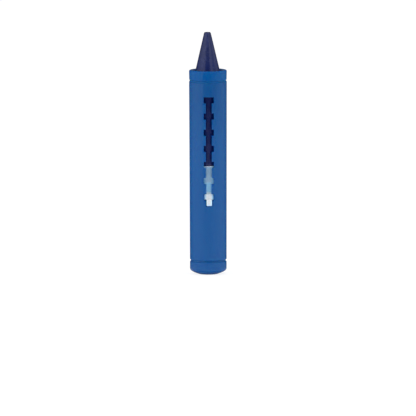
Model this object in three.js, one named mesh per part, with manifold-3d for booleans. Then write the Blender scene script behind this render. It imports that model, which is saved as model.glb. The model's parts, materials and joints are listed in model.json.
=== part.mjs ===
// A push-up bath crayon, standing on its end cap with its point up.
// Millimetres, +Z towards the point, slot facing -Y, origin at the middle of the foot.
// A carrier inside the barrel holds the wax stick. Its latch stands in the lowest notch of the slot,
// and moves up a notch at a time to feed the stick out through the collar.
import * as THREE from "three";
import { mergeVertices } from "three/addons/utils/BufferGeometryUtils.js";
import Module from "manifold-3d";

// Barrel
const barrelLength = 85.3;
const boreRadius = 6.9;
const barrelWall = 2.1;
const barrelTaper = 0.25;
const barrelEdgeFillet = 0.35;

// Slot in the barrel's front wall, with notches across it
const slotWidth = 2.87;
const notchCount = 7;
const notchPitch = 7.75;
const notchWidth = 4.85;
const notchHeight = 3;
const notchFillet = 0.35;
const slotTopBridge = 2.21;

// End cap, with a domed end, a groove under the barrel and a skirt inside it
const capLength = 6.2;
const capFootRadius = 4.35;
const capDomeRadius = 16;
const capCornerFillet = 1.4;
const capFloor = 2.4;
const tailGrooveWidth = 0.8;
const tailGrooveDepth = 0.45;
const skirtStep = 0.5;
const skirtWall = 1.1;
const skirtLength = 6;

// Collar at the front, with a groove over the barrel and a spigot inside it
const collarProud = 0.05;
const collarTaper = 0.12;
const collarLength = 4.66;
const collarFrontFillet = 0.6;
const collarBackFillet = 0.35;
const mouthStep = 0.25;
const mouthFillet = 0.4;
const frontGrooveWidth = 0.9;
const frontGrooveDepth = 0.5;
const spigotWall = 0.95;
const spigotLength = 4;

// Snap bead round the skirt and the spigot
const beadHeight = 0.9;
const beadDepth = 0.2;
const beadFromEnd = 1.4;

// Wax stick
const stickLength = 70.89;
const stickEdgeFillet = 0.4;
const coneHalfAngle = THREE.MathUtils.degToRad(13.14);
const tipRadius = 1.56;
const tipFillet = 0.8;

// Carrier: a cup round the butt of the stick, with a barbed post in its middle
const cupHeight = 8.56;
const cupWall = 0.75;
const cupFloor = 1.2;
const cupEdgeFillet = 0.25;
const postRadius = 1.5;
const postHeight = 5.4;
const barbCount = 3;
const barbDepth = 0.35;

// Latch arm below the cup, with the latch block and the finger tab
const armLength = 6.15;
const armWidth = 3.8;
const armThickness = 1;
const armSetback = 0.15;
const latchRecess = 1;
const latchChamfer = 0.5;
const latchRampHeight = 1.15;
const tabHeight = 2.8;
const tabStandOut = 0.75;
const tabFillet = 0.5;
const tabEdgeRound = 0.35;

// Clearances
const seatGap = 0.05;
const pressGap = 0.08;
const bottomGap = 0.5;
const cupGap = 0.25;
const stickGap = 0.55;
const waxGap = 0.15;
const hingeGap = 0.3;
const latchSideGap = 0.3;
const latchEndGap = 0.2;
const tabSideGap = 0.17;
const tabEndGap = 0.45;

// Fineness of the facets
const sidesRound = 48;
const filletSteps = 2;
const domeSteps = 5;
const weldDistance = 1e-4;

// Most of a step that a fillet on its edge may take
const filletShare = 0.8;

// Radii that follow from the sizes above
const barrelFrontRadius = boreRadius + barrelWall;
const barrelTailRadius = barrelFrontRadius - barrelTaper;
const collarRadius = barrelFrontRadius + collarProud;
const mouthRadius = boreRadius - mouthStep;
const spigotRadius = mouthRadius + spigotWall;
const skirtRadius = boreRadius + skirtStep;
const cupRadius = mouthRadius - cupGap;
const stickRadius = mouthRadius - stickGap;
const buttRadius = cupRadius - cupWall - waxGap;

// Heights that follow from the sizes above
const barrelBottom = capLength + tailGrooveWidth;
const barrelTop = barrelBottom + barrelLength;
const collarBottom = barrelTop + frontGrooveWidth;
const collarTop = collarBottom + collarLength;
const tailRecess = barrelBottom + skirtLength + bottomGap;
const frontRecess = barrelTop - spigotLength - bottomGap;
const topNotch = frontRecess - slotTopBridge - notchHeight / 2;
const lowestNotch = topNotch - (notchCount - 1) * notchPitch;
const cupBottom = lowestNotch + armLength;
const cupFloorTop = cupBottom + cupFloor;
const rim = cupBottom + cupHeight;
const stickBottom = cupFloorTop + waxGap;
const tip = stickBottom + stickLength;

// Latch sizes that follow from the slot
const latchWidth = notchWidth - 2 * latchSideGap;
const latchHeight = notchHeight - 2 * latchEndGap;
const latchBottom = lowestNotch - latchHeight / 2;
const tabWidth = slotWidth - 2 * tabSideGap;
const tabBottom = latchBottom - tabHeight;
const slotBottom = tabBottom - tabEndGap;
const armTop = cupBottom - hingeGap;
const armFront = cupRadius - armSetback;
const armBack = armFront - armThickness;

const wasm = await Module();
wasm.setup();

// The barrel's outer radius at a height, along its taper.
function barrelRadiusAt(z) {
  const share = (z - barrelBottom) / barrelLength;
  return THREE.MathUtils.lerp(barrelTailRadius, barrelFrontRadius, share);
}

// Points of an outline through corners [across, up, fillet], where a fillet is left out for a sharp corner.
function roundedOutline(corners) {
  return corners.flatMap(([x, y, fillet], i) => {
    const corner = new THREE.Vector2(x, y);
    if (!fillet) return [corner];
    const neighbours = [corners.at(i - 1), corners[(i + 1) % corners.length]];
    const [before, after] = neighbours.map(([u, v]) => new THREE.Vector2(u, v).sub(corner).normalize());
    const halfAngle = Math.acos(before.dot(after)) / 2;
    const reach = fillet / Math.tan(halfAngle);
    const inward = before.clone().add(after).normalize();
    const centre = corner.clone().addScaledVector(inward, fillet / Math.sin(halfAngle));
    const start = corner.clone().addScaledVector(before, reach);
    const turn = (Math.PI - 2 * halfAngle) * -Math.sign(before.cross(after));
    return Array.from({ length: filletSteps + 1 }, (_, step) =>
      start.clone().rotateAround(centre, (turn * step) / filletSteps),
    );
  });
}

// A ring turned round +Z from a closed outline [radius, height, fillet], listed counter-clockwise.
function turnedRing(corners) {
  const points = roundedOutline(corners);
  return new THREE.LatheGeometry([...points, points[0].clone()], sidesRound).rotateX(Math.PI / 2);
}

// A body turned round +Z from an outline that starts and ends on the axis.
function turnedBody(corners) {
  return new THREE.LatheGeometry(roundedOutline(corners), sidesRound).rotateX(Math.PI / 2);
}

// A plate with an outline in X and Z, from depth `back` out to depth `front` on the slot's side.
function frontPlate(corners, back, front, chamfer = 0) {
  const shape = new THREE.Shape(roundedOutline(corners));
  const plate = new THREE.ExtrudeGeometry(shape, {
    depth: front - back - chamfer,
    bevelEnabled: chamfer > 0,
    bevelSize: chamfer,
    bevelThickness: chamfer,
    bevelOffset: -chamfer,
    bevelSegments: filletSteps,
  });
  return plate.rotateX(Math.PI / 2).translate(0, -back, 0);
}

// A prism across the slot from an outline [depth, height], where the depth grows out of the slot.
function crosswisePrism(corners, width) {
  const shape = new THREE.Shape(corners.map(([depth, height]) => new THREE.Vector2(depth, height)));
  const outwards = new THREE.Vector3(0, -1, 0);
  const upwards = new THREE.Vector3(0, 0, 1);
  const leftwards = new THREE.Vector3(-1, 0, 0);
  return new THREE.ExtrudeGeometry(shape, { depth: width, bevelEnabled: false })
    .applyMatrix4(new THREE.Matrix4().makeBasis(outwards, upwards, leftwards))
    .translate(width / 2, 0, 0);
}

// Corners of an upright rectangle, centred across.
function rectangle(width, bottom, top, fillet = 0) {
  const half = width / 2;
  return [
    [-half, bottom, fillet],
    [half, bottom, fillet],
    [half, top, fillet],
    [-half, top, fillet],
  ];
}

// A closed geometry as a solid that can be joined and cut.
function solidOf(geometry) {
  const bare = geometry.index ? geometry.toNonIndexed() : geometry.clone();
  bare.deleteAttribute("normal");
  bare.deleteAttribute("uv");
  const merged = mergeVertices(bare, weldDistance);
  return new wasm.Manifold(
    new wasm.Mesh({
      numProp: 3,
      vertProperties: merged.attributes.position.array,
      triVerts: new Uint32Array(merged.index.array),
    }),
  );
}

function geometryOf(solid) {
  const mesh = solid.getMesh();
  const geometry = new THREE.BufferGeometry();
  geometry.setAttribute("position", new THREE.BufferAttribute(mesh.vertProperties, 3));
  geometry.setIndex(new THREE.BufferAttribute(mesh.triVerts, 1));
  geometry.computeVertexNormals();
  return geometry;
}

// The bump that a snap bead makes on a wall of this radius, or with a gap, the groove for it.
function beadCorners(radius, middle, gap = 0) {
  const half = beadHeight / 2 + gap;
  return [
    [radius, middle - half],
    [radius + beadDepth, middle - half + beadDepth],
    [radius + beadDepth, middle + half - beadDepth],
    [radius, middle + half],
  ];
}

// The slot with its notches, seen from the front.
function slotCorners() {
  const rightSide = [[slotWidth / 2, slotBottom, notchFillet]];
  for (let i = 0; i < notchCount; i++) {
    const low = lowestNotch + i * notchPitch - notchHeight / 2;
    const high = low + notchHeight;
    rightSide.push([slotWidth / 2, low], [notchWidth / 2, low, notchFillet]);
    rightSide.push([notchWidth / 2, high, notchFillet], [slotWidth / 2, high]);
  }
  rightSide.pop();
  return [...rightSide, ...rightSide.map(([x, ...rest]) => [-x, ...rest]).reverse()];
}

function barrel() {
  const spigotBead = barrelTop - spigotLength + beadFromEnd;
  const skirtBead = barrelBottom + skirtLength - beadFromEnd;
  const frontRadius = spigotRadius + pressGap;
  const tailRadius = skirtRadius + pressGap;
  const tube = turnedRing([
    [barrelTailRadius, barrelBottom, barrelEdgeFillet],
    [barrelFrontRadius, barrelTop, barrelEdgeFillet],
    [frontRadius, barrelTop],
    ...beadCorners(frontRadius, spigotBead, pressGap).reverse(),
    [frontRadius, frontRecess],
    [boreRadius, frontRecess],
    [boreRadius, tailRecess],
    [tailRadius, tailRecess],
    ...beadCorners(tailRadius, skirtBead, pressGap).reverse(),
    [tailRadius, barrelBottom],
  ]);
  const insideBore = boreRadius / 2;
  const outsideBarrel = barrelFrontRadius * 2;
  const slot = frontPlate(slotCorners(), insideBore, outsideBarrel);
  return geometryOf(solidOf(tube).subtract(solidOf(slot)));
}

function noseCollar() {
  const spigotEnd = barrelTop - spigotLength;
  const shoulder = barrelTop + seatGap;
  const neckRadius = barrelFrontRadius - frontGrooveDepth;
  const backRadius = collarRadius - collarTaper;
  const backFillet = Math.min(collarBackFillet, filletShare * (backRadius - neckRadius));
  return turnedRing([
    [mouthRadius, spigotEnd],
    [spigotRadius, spigotEnd, beadDepth],
    ...beadCorners(spigotRadius, spigotEnd + beadFromEnd),
    [spigotRadius, shoulder],
    [neckRadius, shoulder],
    [neckRadius, collarBottom],
    [backRadius, collarBottom, backFillet],
    [collarRadius, collarTop, collarFrontFillet],
    [mouthRadius, collarTop, mouthFillet],
  ]);
}

// The dome is a slice of a sphere that ends in the flat foot.
function domeCorners() {
  const centre = Math.sqrt(capDomeRadius ** 2 - capFootRadius ** 2);
  const edge = barrelTailRadius - capCornerFillet;
  const radii = Array.from({ length: domeSteps }, (_, i) =>
    THREE.MathUtils.lerp(capFootRadius, edge, i / (domeSteps - 1)),
  );
  const height = (radius) => centre - Math.sqrt(capDomeRadius ** 2 - radius ** 2);
  return [
    ...radii.map((radius) => [radius, height(radius)]),
    [barrelTailRadius, height(barrelTailRadius), capCornerFillet],
  ];
}

function endCap() {
  const shoulder = barrelBottom - seatGap;
  const skirtTop = barrelBottom + skirtLength;
  const neckRadius = barrelTailRadius - tailGrooveDepth;
  const skirtInside = skirtRadius - skirtWall;
  const topFillet = Math.min(barrelEdgeFillet, filletShare * tailGrooveDepth);
  return turnedBody([
    [0, 0],
    ...domeCorners(),
    [barrelTailRadius, capLength, topFillet],
    [neckRadius, capLength],
    [neckRadius, shoulder],
    [skirtRadius, shoulder],
    ...beadCorners(skirtRadius, skirtTop - beadFromEnd),
    [skirtRadius, skirtTop, beadDepth],
    [skirtInside, skirtTop],
    [skirtInside, capFloor],
    [0, capFloor],
  ]);
}

function crayonStick() {
  const postHole = postRadius + barbDepth + waxGap;
  const postHoleEnd = cupFloorTop + postHeight + bottomGap;
  const shoulder = rim + waxGap;
  const coneLength = (stickRadius - tipRadius) / Math.tan(coneHalfAngle);
  return turnedBody([
    [0, postHoleEnd],
    [postHole, postHoleEnd],
    [postHole, stickBottom],
    [buttRadius, stickBottom, stickEdgeFillet],
    [buttRadius, shoulder],
    [stickRadius, shoulder, stickEdgeFillet],
    [stickRadius, tip - coneLength],
    [tipRadius, tip, tipFillet],
    [0, tip],
  ]);
}

function carrier() {
  const cupInside = cupRadius - cupWall;
  const barbPitch = postHeight / barbCount;
  const barbs = Array.from({ length: barbCount }, (_, i) => {
    const foot = cupFloorTop + i * barbPitch;
    return [
      [postRadius, foot],
      [postRadius + barbDepth, foot + barbPitch / 2],
    ];
  }).flat();
  return turnedBody([
    [0, cupBottom],
    [cupRadius, cupBottom, cupEdgeFillet],
    [cupRadius, rim, cupEdgeFillet],
    [cupInside, rim],
    [cupInside, cupFloorTop],
    ...barbs,
    [postRadius, cupFloorTop + postHeight],
    [0, cupFloorTop + postHeight],
  ]);
}

// The latch block stands in a notch, set back from the barrel's surface. A ramp as wide as the tab leads
// from its root up to the arm, deep enough to pass under the bore, and the tab stands out of the slot.
function latchArm() {
  const surface = barrelRadiusAt(lowestNotch);
  const joined = armBack + armThickness / 2;
  const blockFront = surface - latchRecess;
  const blockTop = latchBottom + latchHeight;
  const rampTop = blockTop + latchRampHeight;
  const arm = frontPlate(rectangle(armWidth, tabBottom, armTop, tabFillet), armBack, armFront);
  const block = frontPlate(
    rectangle(latchWidth, latchBottom, blockTop),
    joined,
    blockFront,
    latchChamfer,
  );
  const ramp = crosswisePrism(
    [
      [joined, latchBottom],
      [mouthRadius, latchBottom],
      [mouthRadius, blockTop],
      [armFront, rampTop],
      [joined, rampTop],
    ],
    tabWidth,
  );
  const tab = frontPlate(
    rectangle(tabWidth, tabBottom, tabBottom + tabHeight, tabFillet),
    joined,
    surface + tabStandOut,
    tabEdgeRound,
  );
  return geometryOf([block, ramp, tab].map(solidOf).reduce((whole, part) => whole.add(part), solidOf(arm)));
}

function finish(color, roughness) {
  return new THREE.MeshStandardMaterial({ color, roughness, metalness: 0 });
}

function piece(name, geometry, material) {
  const mesh = new THREE.Mesh(geometry, material);
  mesh.name = name;
  return mesh;
}

const blue = finish(0x1f5a9c, 0.42);
const wax = finish(0x2a2d5c, 0.5);
const milky = finish(0xd5e2ea, 0.35);

const crayon = new THREE.Group();
crayon.add(
  piece("barrel", barrel(), blue),
  piece("nose_collar", noseCollar(), blue),
  piece("end_cap", endCap(), blue),
  piece("crayon_stick", crayonStick(), wax),
  piece("carrier", carrier(), milky),
  piece("latch_arm", latchArm(), milky),
);

export default crayon;
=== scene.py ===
# %% [markdown]
# # A push-up bath crayon
#
# The real object is a fat plastic holder for a stick of bath wax. A milky carrier grips the stick inside
# the barrel, and its latch shows through a slot with notches. The construction is finished, so we load
# it as a fixed frame and give every piece the surface that it has when it comes out of its mould. The
# barrel and the carrier also have some painted light and shade in their colours.

# %% Load the frame
import json
import math

import bmesh
import bpy
import numpy as np
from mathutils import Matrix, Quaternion, Vector


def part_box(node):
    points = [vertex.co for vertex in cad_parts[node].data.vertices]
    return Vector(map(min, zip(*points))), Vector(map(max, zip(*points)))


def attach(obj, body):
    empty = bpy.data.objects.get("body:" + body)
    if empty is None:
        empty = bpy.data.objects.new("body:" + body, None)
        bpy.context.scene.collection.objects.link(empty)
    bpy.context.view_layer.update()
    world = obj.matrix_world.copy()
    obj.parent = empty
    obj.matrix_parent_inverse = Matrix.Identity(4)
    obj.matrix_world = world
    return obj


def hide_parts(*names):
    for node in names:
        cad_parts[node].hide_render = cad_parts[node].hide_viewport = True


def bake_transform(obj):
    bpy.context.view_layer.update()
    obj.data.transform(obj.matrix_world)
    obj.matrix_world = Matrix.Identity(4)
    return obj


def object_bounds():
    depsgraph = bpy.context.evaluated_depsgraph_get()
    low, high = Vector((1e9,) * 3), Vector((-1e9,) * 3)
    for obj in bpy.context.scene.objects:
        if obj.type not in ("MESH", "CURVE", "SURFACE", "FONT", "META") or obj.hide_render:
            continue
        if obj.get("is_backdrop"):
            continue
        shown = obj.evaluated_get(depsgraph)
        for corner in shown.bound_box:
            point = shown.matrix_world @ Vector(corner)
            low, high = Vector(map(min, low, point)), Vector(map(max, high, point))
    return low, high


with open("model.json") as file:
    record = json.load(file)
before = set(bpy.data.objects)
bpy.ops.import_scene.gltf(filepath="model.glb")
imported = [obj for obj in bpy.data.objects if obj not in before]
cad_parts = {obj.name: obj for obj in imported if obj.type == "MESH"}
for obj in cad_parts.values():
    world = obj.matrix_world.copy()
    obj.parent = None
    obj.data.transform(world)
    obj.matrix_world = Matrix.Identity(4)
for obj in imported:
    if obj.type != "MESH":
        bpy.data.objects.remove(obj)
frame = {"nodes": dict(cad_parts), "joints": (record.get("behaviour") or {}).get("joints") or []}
cad_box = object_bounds()
print("the frame holds", sorted(frame["nodes"]))

# %% [markdown]
# ## Sizes
#
# Places are read from the frame, so the looks follow the construction. What a box can't tell, such as a
# fillet, a wall or the width of the slot, is written once, in metres, where it is first needed. Most
# edges have the mould's own small fillet. Edges that lead into a recess have a larger one, and a few are
# softer still.

# %% Read the places of the pieces
MM = 0.001


def extent(node):
    """Lowest and highest corner of a node, as two arrays."""
    low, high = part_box(node)
    return np.array(low), np.array(high)


barrel_low, barrel_high = extent("barrel")
collar_high = extent("nose_collar")[1]
cap_high = extent("end_cap")[1]
stick_low, stick_high = extent("crayon_stick")
cup_low, cup_high = extent("carrier")
latch_low, latch_high = extent("latch_arm")
print("the barrel runs from", round(barrel_low[2] / MM, 2), "to", round(barrel_high[2] / MM, 2), "mm")

# %% Radii, walls and clearances
barrel_bottom, barrel_top = barrel_low[2], barrel_high[2]
front_radius = barrel_high[0]
tail_radius = cap_high[0]
bore_radius = 6.9 * MM
mouth_radius = 6.65 * MM
spigot_radius = 7.6 * MM
skirt_radius = 7.4 * MM
press_gap = 0.08 * MM
seat_gap = 0.05 * MM
wax_gap = 0.15 * MM
mould_fillet = 0.12 * MM
lead_fillet = 0.2 * MM
soft_fillet = 0.4 * MM
tab_height = 2.8 * MM
latch_height = 2.6 * MM
ramp_height = 1.15 * MM
block_bottom = latch_low[2] + tab_height
block_top = block_bottom + latch_height
ramp_top = block_top + ramp_height
print("the barrel widens from", round(tail_radius / MM, 2), "to", round(front_radius / MM, 2), "mm")

# %% [markdown]
# ## Outlines with fillets
#
# A moulded part has no truly sharp corner, because the tool that cuts the mould is round. Each outline
# below is a short list of corners with their fillets, and one helper swaps every corner for an arc.

# %% Round the corners of an outline
ARC_STEPS = 6


def unit(vector):
    return vector / np.linalg.norm(vector)


def rounded(corners):
    """Points of an outline whose corners [across, up, fillet] are swapped for arcs.

    An arc touches both edges at fillet / tan(half) from its corner, where half is half of the angle
    between the edges. Its centre lies on their bisector, at fillet / sin(half).
    """
    places = np.array([corner[:2] for corner in corners])
    points = []
    for i, corner in enumerate(places):
        fillet = corners[i][2]
        if fillet == 0:
            points.append(corner[None])
            continue
        before = unit(places[i - 1] - corner)
        after = unit(places[(i + 1) % len(places)] - corner)
        half = math.acos(before @ after) / 2
        centre = corner + unit(before + after) * fillet / math.sin(half)
        spoke = corner + before * fillet / math.tan(half) - centre
        side = -np.sign(before[0] * after[1] - before[1] * after[0])
        turn = np.linspace(0, (math.pi - 2 * half) * side, ARC_STEPS + 1)
        across = np.cos(turn) * spoke[0] - np.sin(turn) * spoke[1]
        up = np.sin(turn) * spoke[0] + np.cos(turn) * spoke[1]
        points.append(centre + np.stack([across, up], axis=1))
    return np.concatenate(points)


# %% [markdown]
# ## From arrays to a mesh
#
# Every new piece is an array of points and an array of four-sided faces. One function hands them to
# Blender, drops points that no face uses and joins points that meet, such as the ring of points at a
# pole. A Weighted Normal modifier then lets the large faces set the shading, so that a narrow fillet
# doesn't bend the light on the flat wall beside it.

# %% Make a mesh
CRISP = math.radians(40)
WELD = 0.001 * MM


def make_piece(name, points, faces):
    """A mesh object from points and four-sided faces, at the origin and unscaled."""
    used, faces = np.unique(faces, return_inverse=True)
    mesh = bpy.data.meshes.new(name)
    mesh.from_pydata(points[used].tolist(), [], faces.reshape(-1, 4).tolist())
    join_near_points(mesh)
    mesh.shade_smooth()
    mesh.set_sharp_from_angle(angle=CRISP)
    piece = bpy.data.objects.new(name, mesh)
    bpy.context.scene.collection.objects.link(piece)
    print(name, "has", len(mesh.vertices), "points and", len(mesh.polygons), "faces")
    return piece


def join_near_points(mesh):
    """Joins points within WELD of each other, which closes seams and poles."""
    joining = bmesh.new()
    joining.from_mesh(mesh)
    bmesh.ops.remove_doubles(joining, verts=joining.verts, dist=WELD)
    joining.to_mesh(mesh)
    joining.free()


def weigh_normals(piece):
    """Lets the larger of the faces that meet at a point set its shading."""
    weights = piece.modifiers.new("large faces lead", "WEIGHTED_NORMAL")
    weights.mode = "FACE_AREA"
    weights.keep_sharp = True


# %% Faces of a grid
def grid_faces(rows, columns, closed):
    """Faces of a grid whose columns run round, and whose rows do so as well where it is closed.

    Point (row, column) has the number row * columns + column. A face joins it to its neighbours in the
    next column and the next row, and looks outwards where columns run counter-clockwise seen from above.
    """
    row = np.arange(rows if closed else rows - 1)[:, None]
    column = np.arange(columns)[None, :]
    next_row = (row + 1) % rows * columns
    next_column = (column + 1) % columns
    row = row * columns
    ring = [row + column, row + next_column, next_row + next_column, next_row + column]
    return np.stack(ring, axis=-1)


# %% [markdown]
# ## Shader maths
#
# A finish is easier to read as a formula than as a web of nodes. This small class wraps one output of a
# node tree. Sums, differences and products of such outputs add their Math nodes by themselves, and one
# method adds any other node.

# %% Wrap an output
class Wire:
    """One output in a node tree, on which +, - and * add Math nodes."""

    def __init__(self, tree, output=None):
        self.tree = tree
        self.output = output

    def node(self, kind, settings=None, inputs=None, output=0):
        """Adds a node, makes its settings and then its sockets, and gives one of its outputs."""
        node = self.tree.nodes.new(kind)
        for name, value in (settings or {}).items():
            setattr(node, name, value)
        for name, value in (inputs or {}).items():
            if isinstance(value, Wire):
                self.tree.links.new(value.output, node.inputs[name])
            else:
                node.inputs[name].default_value = value
        return Wire(self.tree, node.outputs[output] if len(node.outputs) else None)

    def maths(self, operation, first, second):
        return self.node("ShaderNodeMath", {"operation": operation}, {0: first, 1: second})

    def __add__(self, other):
        return self.maths("ADD", self, other)

    def __radd__(self, other):
        return self.maths("ADD", other, self)

    def __sub__(self, other):
        return self.maths("SUBTRACT", self, other)

    def __rsub__(self, other):
        return self.maths("SUBTRACT", other, self)

    def __mul__(self, other):
        return self.maths("MULTIPLY", self, other)

    def __rmul__(self, other):
        return self.maths("MULTIPLY", other, self)


# %% Nodes that the finishes share
def blank_material(name):
    """A new material with an empty node tree, and a wire to build on."""
    material = bpy.data.materials.new(name)
    material.use_nodes = True
    material.node_tree.nodes.clear()
    return material, Wire(material.node_tree)


def noise(place, size, detail=2.0):
    """Smooth noise from 0 to 1, whose blotches are about `size` metres across."""
    sockets = {"Vector": place, "Scale": 1 / size, "Detail": detail, "Roughness": 0.5}
    return place.node("ShaderNodeTexNoise", None, sockets)


def stretch(place, factors):
    """The place with each axis multiplied by its own factor, which draws a pattern out along an axis."""
    return place.node("ShaderNodeVectorMath", {"operation": "MULTIPLY"}, {0: place, 1: factors})


def coordinate(place, axis):
    """The place's distance along one axis, which is X, Y or Z."""
    return place.node("ShaderNodeSeparateXYZ", None, {0: place}, output=axis)


def absolute(value):
    """The value without its sign."""
    return value.node("ShaderNodeMath", {"operation": "ABSOLUTE"}, {0: value})


def ramp(value, low, high):
    """0 where the value is at most `low`, 1 where it is at least `high`, and smooth in between."""
    sockets = {"Value": value, "From Min": low, "From Max": high}
    return value.node("ShaderNodeMapRange", {"interpolation_type": "SMOOTHSTEP"}, sockets)


def mix_colours(share, first, second):
    """The first colour where the share is 0, and the second where it is 1."""
    sockets = {0: share, 6: first, 7: second}
    return share.node("ShaderNodeMix", {"data_type": "RGBA"}, sockets, output=2)


def stain(share, colour, stain_colour):
    """The colour, multiplied by the stain's colour where the share is 1."""
    settings = {"data_type": "RGBA", "blend_type": "MULTIPLY"}
    return share.node("ShaderNodeMix", settings, {0: share, 6: colour, 7: stain_colour}, output=2)


def bump(relief, strength):
    """The shading normal of a relief that is given in millimetres."""
    sockets = {"Height": relief, "Strength": strength, "Distance": MM}
    return relief.node("ShaderNodeBump", None, sockets)


def shade(wire, sockets):
    """Ends a material in a Principled shader with these sockets."""
    shader = wire.node("ShaderNodeBsdfPrincipled", None, sockets)
    wire.node("ShaderNodeOutputMaterial", None, {"Surface": shader})


# %% [markdown]
# ## Blue moulded plastic
#
# The barrel, the collar and the end cap are one blue plastic with a satin skin. The mould leaves a very
# fine grain, handling leaves a few faint hairlines, and the two halves of the mould leave a thin witness
# line down each side. All of it is far finer than the mesh, so it goes into roughness and bump. Towards
# the barrel's front, where the navy wax stands behind the wall, the blue has painted shade: its colour is
# made a touch darker, for the light that goes through the wall and is lost in the wax.

# %% Blue plastic
def parting_line(place, width):
    """1 on the line where the mould's halves met, which runs down both sides in the plane y = 0."""
    return 1 - ramp(absolute(coordinate(place, "Y")), 0, width)


def hairlines(place):
    """1 on short thin scratches: noise drawn out along a slanted direction, kept only at its peaks."""
    slanted = place.node("ShaderNodeMapping", None, {"Vector": place, "Rotation": (0.5, 0.3, 0.2)})
    fine = noise(stretch(slanted, (1, 1, 0.03)), 0.12 * MM, 1)
    patch = noise(place, 9 * MM)
    return ramp(fine, 0.72, 0.8) * ramp(patch, 0.5, 0.65)


def blue_plastic(name, specular, smoothest, painted_wax_shade=0.0):
    """The blue with its share of specular reflection, and the roughness where it is smoothest.

    The last argument is how strongly painted shade darkens the blue towards the barrel's front, where the
    wax stands behind the wall.
    """
    material, wire = blank_material(name)
    place = wire.node("ShaderNodeTexCoord", output="Object")
    flow = noise(stretch(place, (1, 1, 0.35)), 11 * MM, 3)
    scratch = hairlines(place)
    colour = mix_colours(flow, (0.0010, 0.087, 0.301, 1), (0.0014, 0.097, 0.326, 1))
    colour = mix_colours(scratch * 0.12, colour, (0.10, 0.22, 0.42, 1))
    # painted shade: the blue is made darker towards the barrel's front, where the wax stands behind the wall
    shade_over_wax = ramp(coordinate(place, "Z"), cup_high[2], barrel_top)
    colour = stain(shade_over_wax * painted_wax_shade, colour, (0.8, 0.8, 0.8, 1))
    grain = noise(place, 0.16 * MM, 3)
    witness = parting_line(place, 0.09 * MM)
    relief = grain * 0.006 + flow * 0.08 + witness * 0.02 - scratch * 0.006
    shade(wire, {
        "Base Color": colour,
        "Roughness": smoothest + flow * 0.06 + grain * 0.05 + scratch * 0.1,
        "Specular IOR Level": specular,
        "Subsurface Weight": 0.7,
        "Subsurface Radius": (0.25, 0.7, 1.4),
        "Subsurface Scale": 1.2 * MM,
        "Normal": bump(relief, 0.6),
    })
    return material


# the satin blue carries painted shade towards the barrel's front; the polished blue has none
satin_blue = blue_plastic("satin blue plastic", 0.29, 0.21, painted_wax_shade=0.6)
polished_blue = blue_plastic("polished blue plastic", 0.18, 0.12)
print("made", satin_blue.name, "and", polished_blue.name)

# %% [markdown]
# ## Navy wax
#
# The stick is cast in a tube and drawn out of it, which leaves fine lines along its length. Wax also
# blooms: a thin pale film gathers in soft blotches, mostly on the cone, where the stick was handled.
# Both make the gloss uneven, which is what tells wax from plastic.

# %% Wax
def navy_wax():
    """Navy, which turns a little paler and rougher towards the cone, under blotches of bloom."""
    material, wire = blank_material("navy bath wax")
    place = wire.node("ShaderNodeTexCoord", output="Object")
    cone = ramp(coordinate(place, "Z"), stick_high[2] - 24 * MM, stick_high[2] - 8 * MM)
    blotch = noise(stretch(place, (1, 1, 0.6)), 1.6 * MM, 5)
    bloom = ramp(blotch, 0.46, 0.72) * (0.05 + cone * 0.7)
    navy = mix_colours(cone, (0.002, 0.0125, 0.110, 1), (0.0115, 0.0190, 0.085, 1))
    colour = mix_colours(bloom, navy, (0.028, 0.038, 0.135, 1))
    lines = noise(stretch(place, (1, 1, 0.02)), 0.35 * MM, 3)
    pits = noise(place, 0.5 * MM, 4)
    relief = lines * 0.03 + pits * 0.02 + blotch * 0.05
    shade(wire, {
        "Base Color": colour,
        "Roughness": 0.15 + cone * 0.08 + blotch * 0.1 + bloom * 0.1,
        "Specular IOR Level": 0.44,
        "Normal": bump(relief, 0.5),
    })
    return material


wax = navy_wax()
print("made", wax.name)

# %% [markdown]
# ## Milky plastic
#
# The carrier and its latch are moulded without pigment. Light goes a little way into such plastic and
# comes out beside the point where it went in, so its edges glow and its shadows stay soft. A small
# share of subsurface scattering gives that, and faint clouds keep it from looking like paint. Much of
# the rest of its colour is painted light and shade. The parts that lie back behind the window are
# painted blue, as the light that reaches them through and off the barrel, and a darker greyish blue
# over the wax inside the cup. Only the block and the tab of the latch stand near the front and keep a
# white. The cup's rim and the ramp above the block get a painted highlight, and the tab, the lip under
# it and the arm beside the slot get painted blue shade. Light that comes in past the edges of the window
# is stained blue by the barrel, so the blue is painted deeper towards both sides.

# %% Colours of the milky plastic, with painted light and shade
def set_back_or_front(place, cloud):
    """Two results: the colour, painted blue and shaded where it lies back, and a mask that is 1 near the
    front.
    """
    height = coordinate(place, "Z")
    across = absolute(coordinate(place, "X"))
    # near the front the moulding keeps its white; where it lies back it gets painted light and shade
    near_front = ramp(0 - coordinate(place, "Y"), cup_high[0] + 0.05 * MM, cup_high[0] + 0.5 * MM)
    shade_over_wax = ramp(height, cup_low[2] - 0.2 * MM, cup_low[2] + 1.3 * MM)
    # painted blue light where the arm lies back, and darker painted shade over the wax inside the cup
    set_back_shade = mix_colours(shade_over_wax, (0.32, 0.69, 1.0, 1), (0.31, 0.51, 0.70, 1))
    on_tab = 1 - ramp(height, block_bottom - 0.25 * MM, block_bottom + 0.1 * MM)
    white = mix_colours(cloud, (0.68, 0.74, 0.80, 1), (0.74, 0.79, 0.83, 1))
    # painted shade on the tab: it is made a touch darker, with painted blue light towards its sides
    white = stain(on_tab, white, (0.88, 0.88, 0.89, 1))
    white = mix_colours(on_tab * ramp(across, 0.4 * MM, 1.3 * MM), white, (0.60, 0.86, 1.0, 1))
    return mix_colours(near_front, set_back_shade, white), near_front


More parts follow.
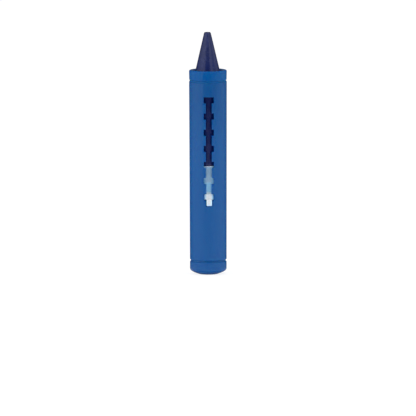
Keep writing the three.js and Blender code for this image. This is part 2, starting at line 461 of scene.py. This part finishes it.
def milky_colour(place, cloud):
    """The colour set back or near the front, with painted light and shade on top.

    A painted highlight on the ramp and the rim, painted blue shade on the lip and on the arm beside the
    slot, and painted blue light and shade towards both sides.
    """
    height = coordinate(place, "Z")
    across = absolute(coordinate(place, "X"))
    colour, near_front = set_back_or_front(place, cloud)
    # painted highlight: the ramp above the block is made a bright bluish white, for light it doesn't get in
    # the recess
    above_block = ramp(height, block_top - 0.45 * MM, block_top - 0.1 * MM)
    ramp_highlight = above_block * (1 - ramp(height, block_top + 0.2 * MM, ramp_top + 0.4 * MM))
    colour = mix_colours(ramp_highlight, colour, (0.82, 0.96, 1.0, 1))
    # painted shade: the lowest millimetre of the tab is made blue, as in shadow
    lip = 1 - ramp(height, latch_low[2] + 0.1 * MM, latch_low[2] + MM)
    colour = mix_colours(lip, colour, (0.46, 0.69, 0.98, 1))
    # painted highlight: the top of the cup is made a light bluish white, where the rim catches light from
    # above
    rim = ramp(height, cup_high[2] - 0.6 * MM, cup_high[2] - 0.1 * MM)
    colour = mix_colours(rim, colour, (0.68, 0.76, 0.95, 1))
    # painted blue light and shade: the colour turns blue towards both sides of the window
    colour = mix_colours(ramp(across, 0.9 * MM, 2.3 * MM), colour, (0.28, 0.66, 1.0, 1))
    # painted shade: the arm is made darker blue beside the slot's walls
    on_arm = 1 - ramp(height, cup_low[2] - 0.25 * MM, cup_low[2])
    slot_wall_shade = ramp(across, 0.8 * MM, 1.25 * MM) * (1 - near_front) * on_arm
    return stain(slot_wall_shade * 0.85, colour, (0.2, 0.5, 0.85, 1))


# %% Milky plastic
def milky_plastic():
    material, wire = blank_material("milky natural plastic")
    place = wire.node("ShaderNodeTexCoord", output="Object")
    cloud = noise(place, 2.4 * MM, 3)
    grain = noise(place, 0.12 * MM, 2)
    shade(wire, {
        "Base Color": milky_colour(place, cloud),
        "Roughness": 0.27 + cloud * 0.08,
        "Specular IOR Level": 0.45,
        "Subsurface Weight": 0.3,
        "Subsurface Radius": (1.0, 1.0, 1.0),
        "Subsurface Scale": 1.2 * MM,
        "Normal": bump(grain * 0.004 + cloud * 0.03, 0.6),
    })
    return material


milky = milky_plastic()
print("made", milky.name)

# %% [markdown]
# ## Finish a piece
#
# Each piece takes a material, moves with one body of the frame, and stands for one node of it.

# %% Dress and place a piece
def fit(piece, material, body, node):
    piece.data.materials.append(material)
    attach(piece, body)
    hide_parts(node)


# %% [markdown]
# ## The window in the barrel
#
# The barrel is a tube with a window in its front wall: a slot with seven notches. A boolean cut would
# leave long thin faces that shade badly on a glossy curve. We lay the wall out as a grid instead, whose
# lines already run along every edge of the window, and then leave the cells inside the window out.

# %% Edges of the window
NOTCHES = 7
slot_width = 2.87 * MM
notch_width = 4.85 * MM
notch_height = 3.0 * MM

slide = next(joint for joint in frame["joints"] if joint["name"] == "carrier_slide")
travel = slide["range_m"][1]
lowest_notch = block_bottom + latch_height / 2
notches = lowest_notch + np.linspace(0, travel, NOTCHES)
slot_top = notches[-1] + notch_height / 2
slot_bottom = latch_low[2] - 0.45 * MM
slot_lip = latch_low[2] - 0.18 * MM
print("the notches are", round((notches[1] - notches[0]) / MM, 2), "mm apart")


# %% Lines of the grid that run along the window
def divided(stops, longest):
    """Every stop, with evenly spaced values in between so that no step is longer than `longest`."""
    parts = np.ceil(np.diff(stops) / longest - 1e-6).astype(int)
    spans = [np.linspace(*ends, part, endpoint=False) for *ends, part in zip(stops, stops[1:], parts)]
    return np.append(np.concatenate(spans), stops[-1])


notch_edges = np.sort(np.concatenate([notches - notch_height / 2, notches + notch_height / 2]))
levels = divided(np.append(slot_bottom, notch_edges), longest=1.3 * MM)
side_lines = np.array([slot_width / 2, notch_width / 2])
front_lines = divided(np.concatenate([-side_lines[::-1], side_lines]), longest=0.8 * MM)
print("the window has", len(levels), "levels and", len(front_lines), "lines across")


# %% Cells that are open
middle_height = (levels[1:] + levels[:-1]) / 2
middle_across = (front_lines[1:] + front_lines[:-1]) / 2
in_slot = np.abs(middle_across) < slot_width / 2
in_notch = (np.abs(middle_height[:, None] - notches) < notch_height / 2).any(axis=1)
open_cells = in_slot[None, :] | in_notch[:, None]
print("the window leaves out", int(open_cells.sum()), "cells")

# %% [markdown]
# ## The barrel's walls
#
# One closed outline gives the outer wall, the recess for the collar, the bore and the recess for the end
# cap. Its long walls carry the window's levels, so that outer and inner cells face each other, and short
# walls through the thickness join them. The slot's lower end slopes down towards the bore. A bevel then
# rounds the window's edges, as a real mould does.

# %% Outline of the barrel
bead_height = 0.9 * MM
bead_depth = 0.2 * MM
bead_from_end = 1.4 * MM
spigot_end = barrel_top - 4 * MM
skirt_top = barrel_bottom + 6 * MM
bottom_gap = 0.5 * MM


def bead(radius, middle, gap=0.0):
    """Corners of a snap bead on a wall of this radius, or of the groove that takes it with a gap."""
    half = bead_height / 2 + gap
    return [
        [radius, middle - half, mould_fillet],
        [radius + bead_depth, middle - half + bead_depth, mould_fillet],
        [radius + bead_depth, middle + half - bead_depth, mould_fillet],
        [radius, middle + half, mould_fillet],
    ]


def outer_radius(height):
    """The barrel's radius at a height, which grows evenly from its tail to its front."""
    return np.interp(height, [barrel_bottom, barrel_top], [tail_radius, front_radius])


def barrel_outline():
    front = spigot_radius + press_gap
    tail = skirt_radius + press_gap
    front_recess = spigot_end - bottom_gap
    tail_recess = skirt_top + bottom_gap
    lip_levels = np.append(slot_lip, levels[1:])
    return rounded([
        [tail_radius, barrel_bottom, soft_fillet],
        *[[outer_radius(level), level, 0] for level in lip_levels],
        [front_radius, barrel_top, mould_fillet],
        [front, barrel_top, mould_fillet],
        *bead(front, spigot_end + bead_from_end, press_gap)[::-1],
        [front, front_recess, mould_fillet],
        [bore_radius, front_recess, mould_fillet],
        *[[bore_radius, level, 0] for level in levels[::-1]],
        [bore_radius, tail_recess, mould_fillet],
        [tail, tail_recess, mould_fillet],
        *bead(tail, skirt_top - bead_from_end, press_gap)[::-1],
        [tail, barrel_bottom, mould_fillet],
    ])


# %% Points of the barrel
BACK_COLUMNS = 112


def barrel_points(outline):
    """The grid of points, one row for each point of the outline.

    A line of the window at x lies at the angle arcsin(x / radius) from the front. The columns behind the
    window share out the rest of the turn. At an angle a, a point is (r sin a, -r cos a, height).
    """
    radius = outline[:, :1]
    front = np.arcsin(front_lines / radius)
    share = np.arange(1, BACK_COLUMNS) / BACK_COLUMNS
    back = front[:, -1:] + share * (2 * math.pi - 2 * front[:, -1:])
    angle = np.concatenate([front, back], axis=1)
    height = np.broadcast_to(outline[:, 1:], angle.shape)
    return np.stack([radius * np.sin(angle), -radius * np.cos(angle), height], axis=-1)


# %% Walls through the barrel's thickness
def window_walls(outer, inner):
    """Faces that join the outer and the inner edge of the window, where an open cell meets a closed one.

    `outer` and `inner` hold the numbers of the points on each level and line.
    """
    ringed = np.pad(open_cells, 1)
    beside = ringed[1:-1]
    above = ringed[:, 1:-1]
    sides = [
        (beside[:, 1:] & ~beside[:, :-1], (0, 0), (1, 0)),
        (beside[:, :-1] & ~beside[:, 1:], (1, 0), (0, 0)),
        (above[1:] & ~above[:-1], (0, 1), (0, 0)),
        (above[:-1] & ~above[1:], (0, 0), (0, 1)),
    ]
    walls = []
    for meeting, start, end in sides:
        level, line = np.nonzero(meeting)
        first = (level + start[0], line + start[1])
        last = (level + end[0], line + end[1])
        walls.append(np.stack([outer[first], inner[first], inner[last], outer[last]], axis=-1))
    return np.concatenate(walls)


# %% Make the barrel
def make_barrel():
    outline = barrel_outline()
    points = barrel_points(outline)
    rows, columns = points.shape[:2]
    within = (outline[:, 1] > slot_bottom - MM) & (outline[:, 1] < slot_top + MM)
    on_bore = outline[:, 0] < (bore_radius + tail_radius) / 2
    outside = np.flatnonzero(within & ~on_bore)
    inside = np.flatnonzero(within & on_bore)[::-1]
    lines = np.arange(len(front_lines))
    kept = np.ones((rows, columns), bool)
    kept[outside[:-1, None], lines[:-1]] = ~open_cells
    kept[inside[1:, None], lines[:-1]] = ~open_cells
    skin = grid_faces(rows, columns, closed=True)[kept]
    walls = window_walls(outside[:, None] * columns + lines, inside[:, None] * columns + lines)
    return make_piece("barrel_moulding", points.reshape(-1, 3), np.concatenate([skin, walls]))


def soften_edges(piece, width):
    """Rounds every edge that is sharper than CRISP."""
    piece.data.shade_smooth()
    piece.data.set_sharp_from_angle(angle=math.pi)
    bevel = piece.modifiers.new("mould radius", "BEVEL")
    bevel.limit_method = "ANGLE"
    bevel.angle_limit = CRISP
    bevel.width = width
    bevel.segments = 3
    weigh_normals(piece)


barrel = make_barrel()
soften_edges(barrel, width=0.1 * MM)
fit(barrel, satin_blue, "root", "barrel")

# %% [markdown]
# ## Turned pieces
#
# The collar, the cap, the stick and the cup are round, so each is one outline carried round the axis.
# Long stretches of an outline get extra points where the surface is shaped further afterwards.

# %% Carry an outline round the axis
SIDES = 160


def turned(name, outline, shape=None):
    """A round piece from an outline of radius and height, listed counter-clockwise.

    At an angle a from the slot's side a point is (r sin a, -r cos a, height). An outline that starts off
    the axis closes on itself. `shape` may move the grid of points before the mesh is made.
    """
    angle = np.linspace(0, 2 * math.pi, SIDES, endpoint=False)
    radius = outline[:, :1]
    across = radius * np.sin(angle)
    height = np.broadcast_to(outline[:, 1:], across.shape)
    points = np.stack([across, -radius * np.cos(angle), height], axis=-1)
    if shape is not None:
        points = shape(points)
    faces = grid_faces(len(outline), SIDES, closed=outline[0, 0] > 0)
    piece = make_piece(name, points.reshape(-1, 3), faces.reshape(-1, 4))
    weigh_normals(piece)
    return piece


# %% [markdown]
# ## The front collar
#
# The collar is a ring pushed into the front of the barrel. A snap bead on its spigot clicks into a
# groove in the bore, and a neck that slopes out to the barrel's edge leaves the groove between ring and
# barrel. Its front edge has a generous fillet, which catches the light from above.

# %% Make the collar
collar_radius = collar_high[0]
collar_top = collar_high[2]
collar_bottom = barrel_top + 0.9 * MM
collar_taper = 0.1 * MM
collar_edge_fillet = 0.3 * MM
front_fillet = 0.6 * MM
neck_radius = front_radius - 0.5 * MM
neck_foot = front_radius - 0.1 * MM
neck_fillet = 0.2 * MM
neck_foot_fillet = 0.05 * MM

collar = turned("collar_moulding", rounded([
    [mouth_radius, spigot_end, mould_fillet],
    [spigot_radius, spigot_end, lead_fillet],
    *bead(spigot_radius, spigot_end + bead_from_end),
    [spigot_radius, barrel_top + seat_gap, mould_fillet],
    [neck_foot, barrel_top + seat_gap, neck_foot_fillet],
    [neck_radius, collar_bottom, neck_fillet],
    [collar_radius - collar_taper, collar_bottom, collar_edge_fillet],
    [collar_radius, collar_top, front_fillet],
    [mouth_radius, collar_top, soft_fillet],
]))
fit(collar, polished_blue, "root", "nose_collar")

# %% [markdown]
# ## The end cap
#
# The cap closes the tail. Its end is a shallow dome that runs into a flat foot, so the crayon can stand
# up. In the middle of the foot is the small dimple where the plastic was fed into the mould.

# %% Make the end cap
DOME_STEPS = 8
cap_top = barrel_bottom - 0.8 * MM
cap_floor = 2.4 * MM
foot_radius = 4.35 * MM
dome_radius = 16 * MM
corner_fillet = 1.4 * MM
cap_edge_fillet = 0.38 * MM
gate_radius = 0.9 * MM
gate_depth = 0.25 * MM
skirt_inside = skirt_radius - 1.1 * MM
tail_neck = tail_radius - 0.45 * MM


def dome_height(radius):
    """Height of the dome over the floor: a slice of a sphere that is cut flat at the foot's radius."""
    return math.sqrt(dome_radius**2 - foot_radius**2) - np.sqrt(dome_radius**2 - radius**2)


dome_radii = np.linspace(foot_radius, tail_radius - corner_fillet, DOME_STEPS + 1)
cap = turned("end_cap_moulding", rounded([
    [0, gate_depth, 0],
    [gate_radius - gate_depth, gate_depth, mould_fillet],
    [gate_radius, 0, mould_fillet],
    *[[radius, dome_height(radius), 0] for radius in dome_radii],
    [tail_radius, dome_height(tail_radius), corner_fillet],
    [tail_radius, cap_top, cap_edge_fillet],
    [tail_neck, cap_top, mould_fillet],
    [tail_neck, barrel_bottom - seat_gap, mould_fillet],
    [skirt_radius, barrel_bottom - seat_gap, mould_fillet],
    *bead(skirt_radius, skirt_top - bead_from_end),
    [skirt_radius, skirt_top, lead_fillet],
    [skirt_inside, skirt_top, mould_fillet],
    [skirt_inside, cap_floor, soft_fillet],
    [0, cap_floor, 0],
]))
fit(cap, satin_blue, "root", "end_cap")

# %% [markdown]
# ## The wax stick
#
# The stick is cast, so it is never quite round or straight. We carry a fine outline round the axis and
# then let slow waves press the surface in by a few hundredths of a millimetre. The point has a soft,
# slightly uneven end, as if it had been tried once.

# %% Outline of the stick
stick_radius = stick_high[0]
stick_bottom, stick_tip = stick_low[2], stick_high[2]
cup_floor_top = stick_bottom - wax_gap
post_radius = 1.5 * MM
post_height = 5.4 * MM
barb_depth = 0.35 * MM
hole_radius = post_radius + barb_depth + wax_gap
hole_end = cup_floor_top + post_height + bottom_gap
butt_radius = 5.5 * MM
cone_fillet = 4 * MM
tip_radius = 1.56 * MM
tip_fillet = 0.7 * MM
cone_half_angle = math.radians(13.14)
cone_base = stick_tip - (stick_radius - tip_radius) / math.tan(cone_half_angle)


def finer(outline, longest):
    """The open outline with extra points, so that no stretch is longer than `longest`."""
    length = np.append(0, np.cumsum(np.linalg.norm(np.diff(outline, axis=0), axis=1)))
    fine = divided(length, longest)
    return np.stack([np.interp(fine, length, outline[:, 0]), np.interp(fine, length, outline[:, 1])], axis=1)


stick_outline = finer(rounded([
    [0, hole_end, 0],
    [hole_radius, hole_end, mould_fillet],
    [hole_radius, stick_bottom, mould_fillet],
    [butt_radius, stick_bottom, soft_fillet],
    [butt_radius, cup_high[2] + wax_gap, mould_fillet],
    [stick_radius, cup_high[2] + wax_gap, soft_fillet],
    [stick_radius, cone_base, cone_fillet],
    [tip_radius, stick_tip, tip_fillet],
    [0, stick_tip, 0],
]), longest=0.8 * MM)
print("the cone starts at", round(cone_base / MM, 2), "mm")


# %% Make the stick
wave_depth = 0.045 * MM
fade_height = 2 * MM
tip_lean = 0.2 * MM


def cast_unevenly(points):
    """Presses the surface in by slow waves in angle and height, and leans the stick to one side.

    The waves are less than `wave_depth` deep, and nowhere deeper than a twentieth of the radius. They
    fade out over the lowest `fade_height` above the cup, where the stick is gripped. The lean grows
    evenly from nothing at the cup's rim to `tip_lean` at the tip.
    """
    across, depth, height = np.moveaxis(points, -1, 0)
    angle = np.arctan2(across, -depth)
    rise = height / MM
    wave = np.sin(2 * angle + rise * 0.21) + np.sin(3 * angle - rise * 0.34 + 1.3)
    ripple = np.sin(rise * 1.1 + np.sin(angle) * 1.5) + np.sin(rise * 0.47 + 2 * angle + 0.6)
    free = np.clip((height - cup_high[2]) / fade_height, 0, 1)
    inward = wave_depth * free * (4 + wave * 0.6 + ripple * 0.4) / 8
    radius = np.hypot(across, depth)
    scale = np.where(radius > 0, 1 - np.minimum(inward / np.maximum(radius, MM), 0.05), 1)
    lean = tip_lean * np.clip((height - cup_high[2]) / (stick_tip - cup_high[2]), 0, 1)
    return np.stack([across * scale - lean, depth * scale, height], axis=-1)


stick = turned("wax_stick", stick_outline, cast_unevenly)
fit(stick, wax, "carrier", "crayon_stick")

# %% [markdown]
# ## The carrier
#
# The carrier is a cup that grips the butt of the stick. A barbed post in its middle holds the wax, which
# is cast around it. Only its side and its rim show, through the slot. The rim comes just out of the
# collar as well when the crayon is fed out all the way.

# %% Make the carrier
cup_bottom = cup_low[2] - 0.08 * MM
cup_rim = cup_high[2]
cup_radius = cup_high[0]
cup_inside = cup_radius - 0.75 * MM
cup_fillet = 0.25 * MM
BARBS = 3
barb_pitch = post_height / BARBS
barb_fillet = 0.08 * MM
post_fillet = 0.3 * MM


def barbs():
    """Corners of the barbs: each widens evenly over half of its height and steps straight back in."""
    corners = []
    for i in range(BARBS):
        foot = cup_floor_top + i * barb_pitch
        corners.append([post_radius, foot, barb_fillet])
        corners.append([post_radius + barb_depth, foot + barb_pitch / 2, barb_fillet])
    return corners


cup = turned("carrier_moulding", rounded([
    [0, cup_bottom, 0],
    [cup_radius, cup_bottom, mould_fillet],
    [cup_radius, cup_rim, cup_fillet],
    [cup_inside, cup_rim, cup_fillet],
    [cup_inside, cup_floor_top, cup_fillet],
    *barbs(),
    [post_radius, cup_floor_top + post_height, post_fillet],
    [0, cup_floor_top + post_height, 0],
]))
fit(cup, milky, "carrier", "carrier")

# %% [markdown]
# ## The latch
#
# Below the cup hangs a springy arm. Its block fills the lowest notch, with its upper corners drawn in a
# little. A ramp leads from the block up to the arm, and the tab under it stands out of the slot for a
# finger. Block and tab sit a hair to one side, as the real ones do. All of it is one moulding, so we
# make four blocks with rounded edges, and a Remesh modifier fuses them into one skin with soft inner
# corners.

# %% A block with rounded edges
def rounded_block(low, high, fillet, lean=0.0, pinch=0.0):
    """Points and faces of a box with rounded edges.

    A point p of the plain box moves to inner + fillet * unit(p - inner), where inner is p clipped to the
    box shrunk by the fillet on every side. The grid on each side has ARC_STEPS cells across each fillet
    and two long cells in between. `lean` draws the front back towards the top: the distance from the
    back shrinks by this share over the box's height. `pinch` narrows the upper half, by this share of
    its width at the top.
    """
    low, high = np.array(low), np.array(high)
    share = np.linspace(0, fillet, ARC_STEPS + 1)[:, None]
    lines = np.concatenate([low + share, [(low + high) / 2], high - share[::-1]])
    count = len(lines)
    first, second = np.meshgrid(np.arange(count), np.arange(count), indexing="ij")
    sides = []
    for axis in range(3):
        for end, across, along in [(0, second, first), (count - 1, first, second)]:
            side = np.empty((count, count, 3))
            side[..., axis] = lines[end, axis]
            side[..., (axis + 1) % 3] = lines[across, (axis + 1) % 3]
            side[..., (axis + 2) % 3] = lines[along, (axis + 2) % 3]
            sides.append(side.reshape(-1, 3))
    plain = np.concatenate(sides)
    inner = np.clip(plain, low + fillet, high - fillet)
    offset = plain - inner
    offset /= np.linalg.norm(offset, axis=-1, keepdims=True)
    cell = np.arange(count - 1)
    corner = (cell[:, None] * count + cell).reshape(-1)
    side_faces = np.stack([corner, corner + count, corner + count + 1, corner + 1], axis=-1)
    faces = np.arange(6)[:, None, None] * count**2 + side_faces
    points = inner + fillet * offset
    rise = (points[:, 2] - low[2]) / (high[2] - low[2])
    points[:, 1] += (high[1] - points[:, 1]) * lean * rise
    points[:, 0] *= 1 - pinch * np.clip(2 * rise - 1, 0, 1)
    return points, faces.reshape(-1, 4)


# %% Sizes of the latch
notch_side_gap = 0.1 * MM
slot_side_gap = 0.17 * MM
arm_thickness = 1 * MM
block_setback = 1 * MM
block_rise = 0.1 * MM
block_offset = 0.05 * MM
tab_offset = 0.14 * MM
arm_fillet = 0.3 * MM
block_fillet = 0.35 * MM
tab_fillet = 0.34 * MM
overlap = 0.3 * MM

latch_half = notch_width / 2 - notch_side_gap
tab_half = slot_width / 2 - slot_side_gap
arm_half = 1.9 * MM
arm_back, arm_top = latch_high[1], latch_high[2]
arm_front = arm_back - arm_thickness
block_front = -outer_radius(lowest_notch) + block_setback
print("the block is", round(2 * latch_half / MM, 2), "mm wide")

# %% Make the latch
blocks = [
    rounded_block((-arm_half, arm_front, latch_low[2]), (arm_half, arm_back, arm_top), arm_fillet),
    rounded_block(
        (block_offset - latch_half, block_front, block_bottom),
        (block_offset + latch_half, arm_back - overlap, block_top + block_rise),
        block_fillet,
        lean=0.25,
        pinch=0.1,
    ),
    rounded_block(
        (-tab_half, -mouth_radius, block_top - overlap),
        (tab_half, arm_back - overlap, ramp_top),
        arm_fillet,
        lean=0.45,
    ),
    rounded_block(
        (tab_offset - tab_half, latch_low[1], latch_low[2]),
        (tab_offset + tab_half, arm_back - overlap, block_bottom + overlap),
        tab_fillet,
    ),
]
starts = np.cumsum([0] + [len(points) for points, faces in blocks[:-1]])
latch = make_piece(
    "latch_moulding",
    np.concatenate([points for points, faces in blocks]),
    np.concatenate([faces + start for (points, faces), start in zip(blocks, starts)]),
)
fuse = latch.modifiers.new("one moulding", "REMESH")
fuse.mode = "VOXEL"
fuse.voxel_size = 0.08 * MM
fuse.use_smooth_shade = True
soften = latch.modifiers.new("soft corners", "SMOOTH")
soften.factor = 0.5
soften.iterations = 6
fit(latch, milky, "latch", "latch_arm")

# %% [markdown]
# ## The living hinge
#
# The arm and the cup are one moulding on the real object, joined by a thin web that bends when the tab
# is pressed. The web is a short strip across the gap, near the front of the arm.

# %% Make the hinge web
WEB_ROWS = 17
WEB_COLUMNS = 48
web_half = 1.8 * MM
web_bottom, web_top = arm_top - overlap, cup_bottom + overlap
web_depth = arm_front + 0.3 * MM


def squared(wave):
    """A sine or cosine wave with its shoulders pushed out: its sign times its size to the power 0.3."""
    return np.sign(wave) * np.abs(wave) ** 0.3


def hinge_points():
    """A strip with rounded sides, whose section shrinks to a line at both ends.

    At the share s of its height, from -1 to 1, half of the thickness is (0.15 + 0.08 s^2) mm, and over
    the last stretch it falls to nothing as the root of 1 - s^8.
    """
    share = np.linspace(-1, 1, WEB_ROWS)[:, None]
    turn = np.linspace(0, 2 * math.pi, WEB_COLUMNS, endpoint=False)
    half_thickness = (0.15 + 0.08 * share**2) * MM * np.sqrt(1 - share**8)
    depth = web_depth + squared(np.sin(turn)) * half_thickness
    across = np.broadcast_to(squared(np.cos(turn)) * web_half, depth.shape)
    height = np.broadcast_to((web_top + web_bottom) / 2 + share * (web_top - web_bottom) / 2, depth.shape)
    return np.stack([across, depth, height], axis=-1)


web = make_piece(
    "hinge_web",
    hinge_points().reshape(-1, 3),
    grid_faces(WEB_ROWS, WEB_COLUMNS, closed=False).reshape(-1, 4),
)
web.data.materials.append(milky)
arm_top - 0.1 * MM
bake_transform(web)
print("the web spans", round((web_top - web_bottom) / MM, 2), "mm")

# %% [markdown]
# ## The stage
#
# The crayon stands on a white floor under soft light. The floor and the world look white to the camera
# and in reflections, but light the crayon at a plain level, so that its colours come out as written. The
# floor lies a hair below the crayon's foot, which leaves room for two thin cards on it.

# %% Floor
AMBIENT = 0.86
FLOOR_SIZE = 200.0
FLOOR_HEIGHT = -0.00002


def seen_directly(wire):
    """1 for rays that show the surroundings to the camera, straight or by a reflection."""
    camera = wire.node("ShaderNodeLightPath", output="Is Camera Ray")
    glossy = wire.node("ShaderNodeLightPath", output="Is Glossy Ray")
    through = wire.node("ShaderNodeLightPath", output="Is Transmission Ray")
    return wire.maths("MAXIMUM", camera, wire.maths("MAXIMUM", glossy, through))


def glowing(wire, grey, strength):
    """A matt grey that also glows, like the milky glass of a light table."""
    matt = wire.node("ShaderNodeBsdfDiffuse", None, {"Color": (grey, grey, grey, 1)})
    glow = wire.node("ShaderNodeEmission", None, {"Color": (1, 1, 1, 1), "Strength": strength})
    return wire.node("ShaderNodeAddShader", None, {0: matt, 1: glow})


def make_floor():
    bpy.ops.mesh.primitive_plane_add(size=FLOOR_SIZE, location=(0, 0, FLOOR_HEIGHT))
    floor = bpy.context.object
    floor.name = "floor"
    material, wire = blank_material("white studio floor")
    matt = glowing(wire, grey=0.8, strength=0.31)
    white = glowing(wire, grey=0.22, strength=0.84)
    surface = wire.node("ShaderNodeMixShader", None, {0: seen_directly(wire), 1: matt, 2: white})
    wire.node("ShaderNodeOutputMaterial", None, {"Surface": surface})
    floor.data.materials.append(material)
    floor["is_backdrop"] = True


def make_world():
    world = bpy.data.worlds.new("white studio")
    world.use_nodes = True
    world.node_tree.nodes.clear()
    bpy.context.scene.world = world
    wire = Wire(world.node_tree)
    strength = AMBIENT + seen_directly(wire) * (1 - AMBIENT)
    light = wire.node("ShaderNodeBackground", None, {"Color": (1, 1, 1, 1), "Strength": strength})
    wire.node("ShaderNodeOutputWorld", None, {"Surface": light})


make_floor()
make_world()
print("the floor and the world are set")

# %% [markdown]
# Two softboxes at the front, the left one stronger, give the round forms their shade. They don't show in
# the gloss, which is left to the cards below. The lamps and the camera point at one target, the place in
# the middle of the picture.

# %% Softboxes
SOFTBOX_DISTANCE = 0.9
target = Vector((-0.00009, 0, 0.03154))


def towards(azimuth, elevation, distance):
    """The place at an azimuth from the front towards +X, an elevation and a distance from the crayon."""
    azimuth, elevation = math.radians(azimuth), math.radians(elevation)
    flat = distance * math.cos(elevation)
    up = distance * math.sin(elevation)
    return target + Vector((flat * math.sin(azimuth), -flat * math.cos(azimuth), up))


def softbox(name, azimuth, elevation, width, height, power):
    light = bpy.data.lights.new(name, "AREA")
    light.shape = "RECTANGLE"
    light.size = width
    light.size_y = height
    light.energy = power
    lamp = bpy.data.objects.new(name, light)
    lamp.visible_glossy = False
    lamp.location = towards(azimuth, elevation, SOFTBOX_DISTANCE)
    lamp.rotation_euler = (target - lamp.location).to_track_quat("-Z", "Y").to_euler()
    bpy.context.scene.collection.objects.link(lamp)


softbox("left softbox", -52, 30, 0.6, 0.8, 1.5)
softbox("right softbox", 46, 30, 0.45, 0.8, 0.9)
print("the softboxes are set")

# %% [markdown]
# Everything round the crayon is white, so its gloss would wash its colour out. A photographer stands
# cards just outside the picture for this. A black one in front, with a low one beside it, keeps a dark
# band down the middle of the upper barrel. A narrower black one above does the same for the cone, and
# grey ones beyond narrow the gleam on the collar and the cone. A wide one behind darkens towards its
# middle and so draws a dark line along both edges, and one on the floor goes on with it below the end
# cap. A small round one under the dome keeps the floor's glare off it. Only reflections see them here,
# so each card simply glows with its own share of white.

# %% A card
CARD_STEPS = 32
SIDE_DEPTH = -0.005
BACK_DEPTH = 0.035


def card(name, azimuths, inner, outer, light, dark):
    """A card bent round the crayon, from one azimuth to another.

    `inner` and `outer` are the distance and the height of its two long edges. Its share of white falls
    from `light` beside the crayon, at SIDE_DEPTH, to `dark` behind it, at BACK_DEPTH.
    """
    azimuth = np.radians(np.linspace(*azimuths, CARD_STEPS + 1))
    around = np.stack([np.sin(azimuth), -np.cos(azimuth), 0 * azimuth], axis=-1)
    points = np.stack([around * distance + (0, 0, height) for distance, height in (inner, outer)])
    mesh = bpy.data.meshes.new(name)
    column = np.arange(len(azimuth) - 1)
    above = column + len(azimuth)
    faces = np.stack([column, column + 1, above + 1, above], axis=-1)
    mesh.from_pydata(points.reshape(-1, 3).tolist(), [], faces.tolist())
    board = bpy.data.objects.new(name, mesh)
    material, wire = blank_material(name)
    place = wire.node("ShaderNodeTexCoord", output="Object")
    behind = ramp(coordinate(place, "Y"), SIDE_DEPTH, BACK_DEPTH)
    white = mix_colours(behind, (light, light, light, 1), (dark, dark, dark, 1))
    glow = wire.node("ShaderNodeEmission", None, {"Color": white, "Strength": 1.0})
    wire.node("ShaderNodeOutputMaterial", None, {"Surface": glow})
    mesh.materials.append(material)
    board.visible_camera = False
    board.visible_diffuse = False
    board.visible_shadow = False
    bpy.context.scene.collection.objects.link(board)
    board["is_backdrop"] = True


# %% Cards
FAR = 0.45
ON_FLOOR = -0.00001


def far_card(name, azimuths, low, high, white):
    """An upright card of one shade, out of the picture, from one height to another."""
    card(name, azimuths, (FAR, low), (FAR, high), white, white)


far_card("front card", (-32, 25), 0, 0.13, 0.0)
far_card("upper front card", (-29, 24), 0.13, 0.4, 0.0)
far_card("low card", (25, 48), 0.03, 0.13, 0.0)
far_card("side card", (48, 85), 0.036, 0.13, 0.45)
far_card("high card", (52, 84), 0.13, 0.4, 0.4)
card("back card", (78, 282), (0.05, 0), (0.05, 0.3), 0.75, 0.08)
card("floor card", (78, 282), (0.0096, ON_FLOOR), (0.05, ON_FLOOR), 0.75, 0.08)
card("dome card", (0, 360), (0.0044, ON_FLOOR), (0.0095, ON_FLOOR), 0.16, 0.16)
print("the cards are set")

# %% [markdown]
# ## The camera
#
# A long lens from a little above the crayon keeps its sides nearly parallel, as in the photograph.

# %% Camera
CAMERA_DISTANCE = 8
CAMERA_ELEVATION = 6.3
CAMERA_AZIMUTH = -2.4
CAMERA_ROLL = -0.12

camera_data = bpy.data.cameras.new("camera")
camera_data.lens = 1449.6
camera_data.sensor_width = 36
camera_data.clip_start = 0.05
camera_data.clip_end = 100
camera = bpy.data.objects.new("camera", camera_data)
camera.location = towards(CAMERA_AZIMUTH, CAMERA_ELEVATION, CAMERA_DISTANCE)
upright = (target - camera.location).to_track_quat("-Z", "Y")
camera.rotation_euler = (upright @ Quaternion((0, 0, 1), math.radians(CAMERA_ROLL))).to_euler()
bpy.context.scene.collection.objects.link(camera)
bpy.context.scene.camera = camera
bpy.context.scene.view_settings.view_transform = "Standard"
print("the camera is at", [round(value, 3) for value in camera.location])

# %% [markdown]
# ## The size of the construction
#
# The looks must not change the size of the construction, so both boxes are printed for comparison.

# %% Print the sizes
boxes = {"cad": cad_box, "visual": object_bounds()}
for name, (low, high) in boxes.items():
    print(name, "box", [round(value / MM, 2) for value in (*low, *high)])
